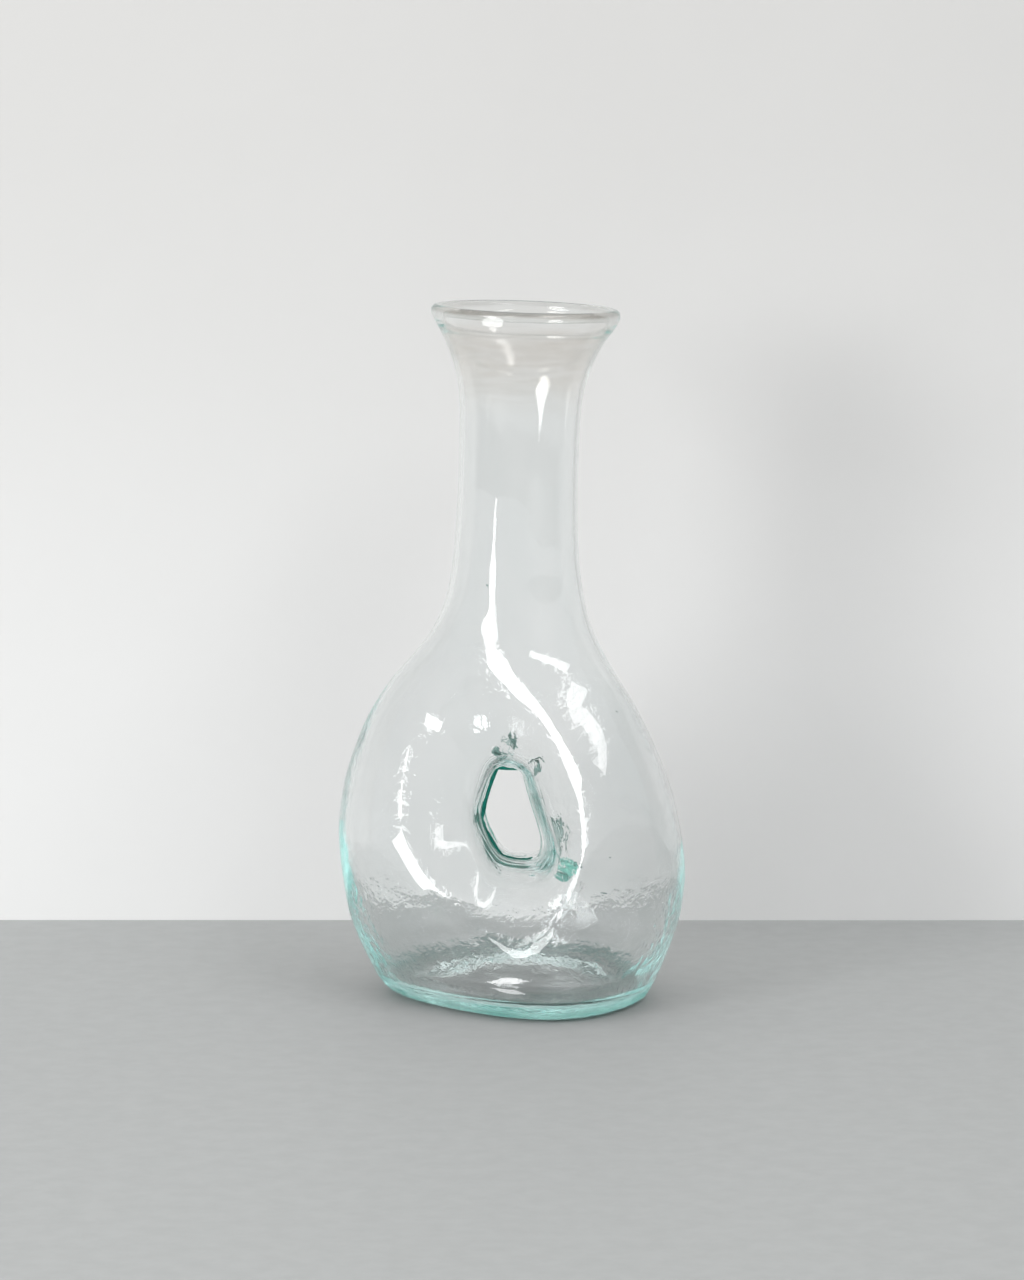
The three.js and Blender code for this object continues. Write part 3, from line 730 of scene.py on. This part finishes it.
floor_mat = matte("stage_floor", (0.43, 0.44, 0.435), (0.455, 0.465, 0.46), 0.6, 90.0)
# the wall's second, darker colour pair is painted shade, used towards the top
wall_mat = matte("stage_wall", (0.83, 0.825, 0.815), (0.845, 0.84, 0.83), 0.95, 3.0, one_sided=True,
                 painted_shade_colours=((0.68, 0.67, 0.655), (0.695, 0.685, 0.67)))
BACK = 0.171
FLOOR = -0.0003               # a hair under the foot, so that the two faces do not share a plane
plane("floor", [(-4, -4, FLOOR), (4, -4, FLOOR), (4, 4, FLOOR), (-4, 4, FLOOR)], floor_mat)
# painted shade: the wall is painted darker towards the top, standing in for the light falling off there
rows = [0, 0.06, 0.12, 0.18, 0.24, 0.30, 0.36, 0.42, 0.5, 4.0]
wall = bpy.data.meshes.new("backdrop")
wall.from_pydata([(x, BACK, z) for z in rows for x in (-4, 4)], [],
                 [(2 * i, 2 * i + 1, 2 * i + 3, 2 * i + 2) for i in range(len(rows) - 1)])
wall.materials.append(wall_mat)
# weight of the painted shade: none near the floor, full from 0.42 m up
fade = [float(smooth((z - 0.05) / 0.37)) for z in rows for _ in (0, 1)]
wall.attributes.new("fade", "FLOAT", "POINT").data.foreach_set("value", np.array(fade, np.float32))
wall = bpy.data.objects.new("backdrop", wall)
bpy.context.collection.objects.link(wall)

world = bpy.data.worlds.new("studio")
bpy.context.scene.world = world
world.use_nodes = True
world.node_tree.nodes["Background"].inputs["Color"].default_value = (0.97, 0.985, 1.0, 1)
world.node_tree.nodes["Background"].inputs["Strength"].default_value = 0.9


def softbox(name, azimuth, distance, z0, z1, width, radiance, colour=(1, 1, 1)):
    """A tall vertical panel, azimuth degrees to the right of the camera side."""
    a = math.radians(azimuth)
    x, y = math.sin(a) * distance, -math.cos(a) * distance
    l = bpy.data.lights.new(name, "AREA")
    l.shape = "RECTANGLE"
    l.size, l.size_y = width, z1 - z0
    l.energy = radiance * math.pi * width * (z1 - z0)
    l.color = colour
    o = bpy.data.objects.new(name, l)
    bpy.context.collection.objects.link(o)
    o.location = (x, y, (z0 + z1) / 2)
    d = Vector((-x, -y, 0)).normalized()
    o.rotation_euler = d.to_track_quat("-Z", "Z").to_euler()
    return o


softbox("window_left", -43.5, 2.2, 0.265, 1.18, 0.79, 9.0)
softbox("window_right", 46, 2.2, 1.15, 4.2, 0.56, 5.0)

cam = bpy.data.cameras.new("camera")
cam.lens = 140.625
cam.sensor_width = 36
cam_o = bpy.data.objects.new("camera", cam)
bpy.context.collection.objects.link(cam_o)
cam_o.location = (0.0004, -2.14226 + OY / 1000, 0.44936)
cam_o.rotation_euler = (math.pi / 2 - 0.1362, 0, 0)
bpy.context.scene.camera = cam_o
bpy.context.scene.view_settings.view_transform = "Standard"
# clear glass inside clear glass takes many crossings before the light is out again
light_paths = bpy.context.scene.cycles
light_paths.max_bounces = 200
light_paths.transmission_bounces = 200
light_paths.glossy_bounces = 200

# ---------------------------------------------------------------------------
# Where the two walls were squeezed together: threads and lumps of fused glass
# ---------------------------------------------------------------------------
def seam_plane(x, z):
    return -shear(z) * (x - middle(z))


def front_plane(x, z, under=0.9):
    """Just under the front skin."""
    return section_y(x, z, -1.0, 0.0) + under


def strand(path, y=None, flat=0.7, seed=0, wobble=0.10, around=12, step=0.35):
    """A drawn-out thread. Rows of path are x, z and half width in mm; flat is its depth over its
    width; y is its depth in the glass, the seam by default."""
    path = np.array(path, float)
    n = len(path)
    pts = [path[0]]
    for k in range(n - 1):
        a, b, c, d = path[max(k - 1, 0)], path[k], path[k + 1], path[min(k + 2, n - 1)]
        m = max(2, int(np.hypot(c[0] - b[0], c[1] - b[1]) / step))
        for i in range(1, m + 1):
            t = i / m
            pts.append(0.5 * (2 * b + (c - a) * t + (2 * a - 5 * b + 4 * c - d) * t * t
                              + (3 * b - a - 3 * c + d) * t**3))
    pts = np.array(pts)
    tan = np.gradient(pts[:, :2], axis=0)
    tan /= np.linalg.norm(tan, axis=1)[:, None] + 1e-9
    caps = np.linspace(0, math.pi / 2, 5)[1:-1]
    head = [np.r_[pts[0, :2] - tan[0] * pts[0, 2] * math.sin(c), pts[0, 2] * math.cos(c)] for c in caps[::-1]]
    tail = [np.r_[pts[-1, :2] + tan[-1] * pts[-1, 2] * math.sin(c), pts[-1, 2] * math.cos(c)] for c in caps]
    pts = np.array(head + list(pts) + tail)
    tan = np.concatenate([np.repeat(tan[:1], 3, 0), tan, np.repeat(tan[-1:], 3, 0)])
    if y is None:
        ys = seam_plane(pts[:, 0], pts[:, 1])
    elif callable(y):
        ys = y(pts[:, 0], pts[:, 1])
    else:
        ys = np.full(len(pts), float(y))
    a = 2 * np.pi * np.arange(around) / around
    ring = (pts[:, None, 2] * np.cos(a)[None, :])[..., None] * np.stack([-tan[:, 1], 0 * ys, tan[:, 0]], 1)[:, None, :]
    ring = ring + (pts[:, None, 2] * flat * np.sin(a)[None, :])[..., None] * np.array([0, 1.0, 0])
    cen = np.stack([pts[:, 0], ys, pts[:, 1]], 1)[:, None, :]
    spot = (cen + ring).reshape(-1, 3)
    bumpy = 1 + wobble * (noise(spot, 1.7, 20 + seed) + 0.5 * noise(spot, 0.8, 40 + seed))
    v = (cen + ring * bumpy.reshape(ring.shape[:2])[..., None]).reshape(-1, 3)
    rows = len(pts)
    f = []
    for r in range(rows - 1):
        for i in range(around):
            k = (i + 1) % around
            f.append((r * around + i, r * around + k, (r + 1) * around + k, (r + 1) * around + i))
    f.append(tuple(range(around))[::-1])
    f.append(tuple((rows - 1) * around + i for i in range(around)))
    return v, f


def strands(name, material, parts, nodes):
    """One piece made of several threads; every part is (tone, strand)."""
    vs, fs, tone, count = [], [], [], 0
    for t, (v, f) in parts:
        vs.append(v)
        fs += [tuple(i + count for i in q) for q in f]
        tone.append(np.full(len(v), t))
        count += len(v)
    o = mesh_object(name, np.concatenate(vs), fs, material, attributes={"tone": np.concatenate(tone)})
    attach(o, "root")
    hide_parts(*nodes)
    return o


def seam_material(name, pale, dark, density, scale, ior, bump=0.00012):
    """Streaky coloured glass, from pale to dark with the tone of each thread."""
    n = Nodes(name)
    n.glass((0.10, 0.70, 0.60), density, ior)
    streak = n.noise(scale, 3.0, 0.6, 0.8, n.stretch((1.0, 0.5, 1.4)))
    mottle = n.math("MULTIPLY_ADD", streak, 0.5)
    mottle.node.inputs[2].default_value = -0.25
    tone = n.math("ADD", n.attribute("tone"), mottle)
    n.link(n.ramp(tone, [(0.05, pale), (0.95, dark)]), n.b.inputs["Base Color"])
    n.link(n.remap(n.noise(scale * 0.6, 2.0), 0.3, 0.7, 0.02, 0.12), n.b.inputs["Roughness"])
    n.bump(n.noise(scale * 2.0, 3.0, 0.6, 0.5), bump)
    return n.m


BEAD = [(4.6, 100.4, 0.22), (1.8, 100.7, 0.37), (-1.4, 100.9, 0.51), (-4.2, 101.3, 0.66), (-6, 101.3, 0.8),
        (-6.9, 99.5, 0.73), (-8, 96.3, 0.73), (-9.9, 90.8, 0.66), (-11.4, 85.5, 0.8), (-12.6, 81.4, 1.1),
        (-13.1, 79.3, 1.17), (-12.4, 77.1, 0.96), (-11.3, 74.4, 0.87), (-9.8, 71.3, 1.1), (-8.3, 68.3, 1.17),
        (-6.3, 65.4, 1.03), (-4.2, 62.8, 0.87), (-2.7, 62.3, 0.73), (0.1, 61.6, 0.66), (3.5, 60.9, 0.8),
        (6, 60.9, 0.73), (7.7, 61.4, 0.51), (9, 62, 0.29)]
BEAD_IN = [(-11.3, 81.2, 0.12), (-11.0, 78.0, 0.25), (-9.7, 73.9, 0.25), (-8.0, 70.5, 0.31), (-6.1, 66.2, 0.31),
           (-4.7, 63.4, 0.31), (-2.7, 62.1, 0.25), (0.4, 61.3, 0.31), (4.1, 60.7, 0.25), (6.7, 60.9, 0.12)]
EDGE_A = [(4.3, 100.1, 0.12), (6.0, 95.0, 0.25), (7.8, 88.7, 0.31), (9.7, 82.5, 0.37), (11.5, 76.8, 0.31),
          (13.0, 70.5, 0.31), (12.9, 65.5, 0.37), (11.3, 61.7, 0.37), (10.0, 59.5, 0.19)]
EDGE_B = [(5.5, 99.1, 0.19), (8.3, 92.8, 0.37), (10.4, 86.5, 0.56), (12.4, 80.3, 0.50), (14.3, 74.7, 0.31),
          (15.1, 69.0, 0.31), (14.5, 65.2, 0.37), (12.6, 61.5, 0.37), (10.8, 58.6, 0.19)]
EDGE_C = [(8.9, 90.6, 0.31), (10.0, 87.5, 0.68), (11.5, 83.8, 0.62), (13.1, 80.0, 0.37), (14.6, 76.9, 0.25)]
WISP = [(12.2, 90.4, 0.19), (12.9, 88.4, 0.37), (13.5, 86.5, 0.50), (14.4, 84.0, 0.50), (15.2, 81.5, 0.25)]
LOBE = [(17.3, 78.5, 0.31), (18.8, 76.3, 0.93), (19.8, 73.0, 1.12), (20.1, 69.5, 1.12), (19.6, 65.7, 1.05),
        (18.9, 62.2, 0.74), (18.0, 59.0, 0.31)]
LOBE_EDGE = [(17.0, 79.0, 0.19), (19.0, 77.5, 0.37), (20.6, 75.0, 0.37), (21.4, 72.1, 0.25), (21.3, 69.0, 0.25),
             (20.6, 64.8, 0.25), (19.3, 60.9, 0.25), (17.9, 57.7, 0.19)]
KNOB = [(7.6, 101.8, 0.25), (8.6, 102.5, 0.43), (9.9, 102.6, 0.74), (11.0, 101.9, 1.05), (11.4, 100.5, 1.30),
        (11.2, 98.9, 1.49), (10.7, 97.7, 1.24), (10.2, 96.8, 0.56)]
KNOB_TOP = [(7.8, 102.0, 0.19), (9.2, 102.6, 0.37), (10.6, 102.4, 0.50), (11.7, 101.5, 0.43), (12.2, 100.2, 0.25)]

edge_glass = seam_material("edge_glass", (0.35, 0.68, 0.61), (0.012, 0.20, 0.155), 60.0, 260.0, 1.14)
grey_glass = seam_material("grey_glass", (0.86, 0.93, 0.915), (0.20, 0.37, 0.335), 40.0, 320.0, 1.28)
teal_glass = seam_material("teal_glass", (0.42, 0.90, 0.80), (0.12, 0.50, 0.43), 60.0, 420.0, 1.24)

rnd = np.random.RandomState(5)
strands("fused_edge", edge_glass, [
    (0.95, strand([(x, z, 1.2 * r) for x, z, r in BEAD], -9.5, 0.8, 1, 0.16)),
    (0.35, strand(BEAD_IN, 2.0, 1.2, 2, 0.2)),
], ["hole_collar"])
strands("squeezed_wall", grey_glass, [
    (0.45, strand(EDGE_A, -9.0, 2.0, 3, 0.2)),
    (0.30, strand(EDGE_B, -11.0, 2.4, 4, 0.2)),
    (0.40, strand(EDGE_C, -13.0, 1.6, 5, 0.2)),
], ["hole_collar"])
strands("knob", grey_glass, [
    (0.85, strand(KNOB, None, 0.75, 6, 0.14)),
    (1.00, strand(KNOB_TOP, -3.2, 0.8, 7, 0.2)),
    (0.45, strand([(7.7, 95.2, 0.5), (8.8, 96.1, 0.42), (10.0, 97.1, 0.5)], None, 1.2, 60, 0.2)),
], ["seam_knob"])
strands("lobe", grey_glass, [
    (0.50, strand([(x, z, 1.25 * r) for x, z, r in LOBE], None, 0.5, 8, 0.14)),
    (0.70, strand(LOBE_EDGE, -3.6, 0.8, 9, 0.25)),
    (0.65, strand([(17.4, 78.6, 0.2), (18.5, 77.3, 0.5), (19.7, 75.3, 0.35), (20.4, 73.4, 0.15)], -4.4, 0.5, 10, 0.2)),
    (0.75, strand(WISP, None, 0.8, 11, 0.25)),
    (0.40, strand([(11.4, 85.8, 0.45), (12.5, 86.2, 0.4), (13.6, 86.7, 0.5)], None, 1.4, 61, 0.2)),
], ["seam_lobe"])

# the crest: short crumpled strokes above the top corner of the hole
crest = []
for k, (x0, z0, x1, z1, w, t) in enumerate([
        (0.9, 115.6, -0.9, 112.0, 0.50, 0.75), (-0.6, 113.8, 1.4, 108.8, 0.55, 0.9), (0.6, 113.4, 2.3, 108.7, 0.45, 0.7),
        (-2.6, 112.8, 0.2, 109.4, 0.34, 0.5), (-3.6, 111.6, -0.9, 108.8, 0.32, 0.5), (1.2, 110.6, 2.4, 107.6, 0.50, 0.85),
        (-6.4, 108.2, -7.6, 104.8, 0.55, 0.75), (-5.6, 107.6, -5.0, 103.6, 0.70, 0.9), (-7.4, 105.4, -3.0, 103.2, 0.60, 0.85),
        (-4.8, 105.8, -1.8, 103.4, 0.50, 0.65), (-3.6, 106.8, -2.0, 104.4, 0.30, 0.45), (-1.4, 106.2, 0.6, 103.4, 0.30, 0.45)]):
    xm, zm = (x0 + x1) / 2 + rnd.uniform(-0.35, 0.35), (z0 + z1) / 2 + rnd.uniform(-0.35, 0.35)
    crest.append((t, strand([(x0, z0, 0.6 * w), (xm, zm, 1.6 * w), (x1, z1, 0.8 * w)],
                            float(seam_plane(np.array(xm), np.array(zm))) + rnd.uniform(-0.5, 0.5), 0.6, 12 + k, 0.3)))
# two paler stalks tie the upper strokes to the fused glass under them
crest.append((0.3, strand([(0.2, 103.2, 0.3), (1.4, 106.2, 0.26), (2.0, 109.2, 0.3), (1.4, 112.0, 0.24)], None, 2.2, 62, 0.25)))
crest.append((0.3, strand([(-1.7, 103.3, 0.26), (-1.1, 106.4, 0.22), (-0.7, 109.6, 0.26), (-0.1, 113.2, 0.24)], None, 2.2, 63, 0.25)))
strands("crest", grey_glass, crest, ["seam_crest"])

# the tab: slanting ribs of bright teal, with duller ones below on the left
ribs = []
ca, sa = math.cos(math.radians(29)), math.sin(math.radians(29))
for k in range(13):
    v = k * 0.72                                     # across the ribs, from the upper right edge
    x0, z0 = 21.6 - 0.55 * v - rnd.uniform(0, 0.8), 61.9 - 0.95 * v + rnd.uniform(-0.1, 0.1)
    long = (8.8, 10.0, 10.6, 10.2, 10.4, 9.4, 9.6, 8.2, 8.0, 9.2, 7.4, 8.2, 5.0)[k] + rnd.uniform(-0.5, 0.5)
    w = 0.56 if k < 7 else 0.42
    path = [(x0, z0, w * 0.6)]
    for j in range(1, 5):
        path.append((x0 + long * j / 4 * ca, z0 - long * j / 4 * sa + rnd.uniform(-0.12, 0.12),
                     w * (1.0 if j < 4 else 0.45) * rnd.uniform(0.8, 1.15)))
    ribs.append(((0.15 if k < 7 else 0.8) + rnd.uniform(-0.12, 0.12), strand(path, -2.8 + 0.05 * k, 1.1, 30 + k, 0.2)))
# and the fold of glass it hangs from
ribs.append((0.85, strand([(14.9, 63.3, 0.6), (17.0, 62.4, 0.5), (19.0, 61.3, 0.55), (21.2, 60.2, 0.6)], None, 1.3, 64, 0.2)))
strands("tab", teal_glass, ribs, ["seam_tab"])
strands("tab_tail", grey_glass, [
    (0.95, strand([(24.6, 60.4, 0.22), (27.6, 58.4, 0.34), (30.6, 57.3, 0.36), (33.0, 56.8, 0.25)], None, 0.7, 50, 0.3)),
    (0.80, strand([(37.9, 55.4, 0.12), (39.1, 55.2, 0.26), (40.6, 54.9, 0.14)], front_plane, 0.7, 51, 0.2)),
    (0.60, strand([(-5.5, 59.2, 0.2), (-5.0, 59.0, 0.34), (-4.5, 58.9, 0.18)], front_plane, 0.7, 52, 0.2)),
    (0.55, strand([(41.5, 70.6, 0.16), (41.8, 70.5, 0.26), (42.1, 70.4, 0.16)], front_plane, 0.8, 53, 0.2)),
    (0.90, strand([(-10.4, 182.9, 0.18), (-10.1, 182.6, 0.32), (-9.9, 182.3, 0.18)], front_plane, 0.8, 54, 0.2)),
    (0.80, strand([(44.6, 129.4, 0.2), (45.0, 129.2, 0.34), (45.3, 129.0, 0.18)], front_plane, 0.8, 55, 0.2)),
], ["seam_tab"])
